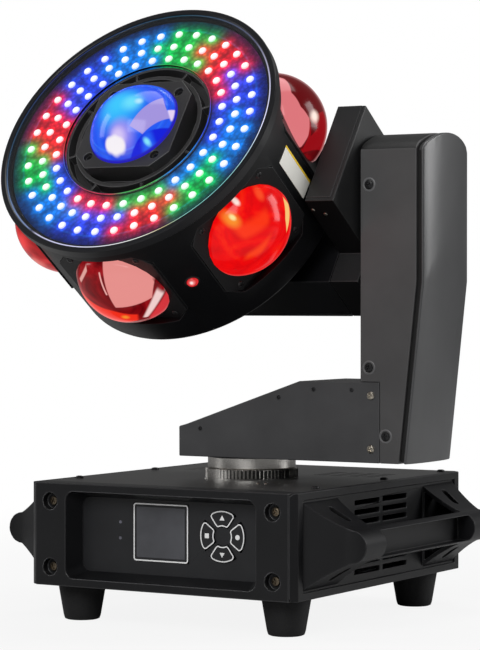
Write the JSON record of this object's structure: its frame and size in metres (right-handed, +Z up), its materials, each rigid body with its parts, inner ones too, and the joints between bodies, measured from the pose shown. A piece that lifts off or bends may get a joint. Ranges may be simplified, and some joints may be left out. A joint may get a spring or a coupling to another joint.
{
  "type": "led multi-effect light",
  "caption": "Moving-head effect light: a drum head with a domed lens in its LED-ringed face and domed lenses round its side, on a one-armed yoke over a base with display and handles.",
  "frame": {"origin": "on the floor that the feet stand on, in the middle of the whole light's box at rest; the pan axis is at x -0.0084 m, y 0.0324 m", "axes": "+Z up along the pan axis, -Y out of the display side of the base, +X towards the yoke's arm; the tilt axis is parallel to X"},
  "size_m": [0.3838, 0.3828, 0.5423],
  "materials": {
    "painted_housing": "fine-textured matt black paint",
    "moulded_housing": "satin black moulding with a fine grain",
    "arm_housing": "fine-grained charcoal moulding",
    "black_plastic": "satin black moulding",
    "rubber": "matt black rubber",
    "belt": "toothed black belt",
    "steel": "machined",
    "aluminium": "plain",
    "clear_cover": "clear, polished",
    "centre_lens": "polished, lit blue",
    "side_lens": "polished, lit red",
    "circuit_board": "dark solder mask",
    "display": "dark grey window, off"
  },
  "bodies": {
    "base": {"base_front_bezel": "moulded_housing", "base_rear_panel": "painted_housing", "base_side_left": "moulded_housing", "base_side_right": "moulded_housing", "base_top_cover": "painted_housing", "base_bottom_plate": "painted_housing", "foot_front_left": "rubber", "foot_front_right": "rubber", "foot_rear_left": "rubber", "foot_rear_right": "rubber", "control_fascia": "black_plastic", "display_module": "display", "control_board": "circuit_board", "power_supply": "aluminium", "power_inlet": "black_plastic", "power_outlet": "black_plastic", "dmx_inlet": "black_plastic", "dmx_outlet": "black_plastic", "pan_seat": "steel", "pan_motor": "steel", "pan_belt": "belt"},
    "up_key": {"key_up": "black_plastic"},
    "down_key": {"key_down": "black_plastic"},
    "left_key": {"key_left": "black_plastic"},
    "right_key": {"key_right": "black_plastic"},
    "pan_pulley": {"pan_motor_pulley": "aluminium"},
    "yoke": {"pan_hub": "steel", "yoke_lower_frame": "painted_housing", "yoke_front_plate": "painted_housing", "yoke_rear_plate": "painted_housing", "arm_shell": "arm_housing", "arm_trim": "rubber", "arm_cover": "black_plastic", "tilt_motor": "steel", "tilt_belt": "belt"},
    "tilt_pulley": {"tilt_motor_pulley": "aluminium"},
    "head": {"drum_housing": "moulded_housing", "front_ring": "moulded_housing", "front_glass": "clear_cover", "led_ring_board": "circuit_board", "centre_bezel": "black_plastic", "centre_lens": "centre_lens", "light_engine": "aluminium", "side_lens_plate_1": "black_plastic", "side_lens_plate_2": "black_plastic", "side_lens_plate_3": "black_plastic", "side_lens_plate_4": "black_plastic", "side_lens_plate_5": "black_plastic", "side_lens_plate_6": "black_plastic", "side_lens_1": "side_lens", "side_lens_2": "side_lens", "side_lens_3": "side_lens", "side_lens_4": "side_lens", "side_lens_5": "side_lens", "side_lens_6": "side_lens", "head_rear_housing": "moulded_housing", "head_rear_cover": "moulded_housing", "head_neck": "arm_housing", "tilt_shaft": "steel"},
    "fan": {"head_fan": "black_plastic"}
  },
  "joints": [
    {"name": "pan", "type": "hinge", "parent": "base", "child": "yoke", "pos_m": [-0.0084, 0.03244, 0.137], "axis": [0, 0, 1], "range_deg": [-270, 270]},
    {"name": "tilt", "type": "hinge", "parent": "yoke", "child": "head", "pos_m": [0.1116, 0.03244, 0.368], "axis": [-1, 0, 0], "range_deg": [-45, 155]},
    {"name": "pan_pulley_spin", "type": "hinge", "parent": "base", "child": "pan_pulley", "pos_m": [-0.1004, -0.00556, 0.097], "axis": [0, 0, 1], "range_deg": [-1025, 1025]},
    {"name": "tilt_pulley_spin", "type": "hinge", "parent": "yoke", "child": "tilt_pulley", "pos_m": [0.1686, 0.03244, 0.256], "axis": [-1, 0, 0], "range_deg": [-157, 539]},
    {"name": "fan_spin", "type": "hinge", "parent": "head", "child": "fan", "pos_m": [-0.0376, 0.06372, 0.33072], "axis": [0, 0.8192, -0.5736], "continuous": true},
    {"name": "up_key_press", "type": "slide", "parent": "base", "child": "up_key", "axis": [0, 1, 0], "range_m": [0, 0.0015], "stiffness_N_per_m": 400},
    {"name": "down_key_press", "type": "slide", "parent": "base", "child": "down_key", "axis": [0, 1, 0], "range_m": [0, 0.0015], "stiffness_N_per_m": 400},
    {"name": "left_key_press", "type": "slide", "parent": "base", "child": "left_key", "axis": [0, 1, 0], "range_m": [0, 0.0015], "stiffness_N_per_m": 400},
    {"name": "right_key_press", "type": "slide", "parent": "base", "child": "right_key", "axis": [0, 1, 0], "range_m": [0, 0.0015], "stiffness_N_per_m": 400}
  ],
  "couplings": [
    {"joint": "pan_pulley_spin", "follows": "pan", "ratio": 3.7895},
    {"joint": "tilt_pulley_spin", "follows": "tilt", "ratio": 3.4737}
  ]
}
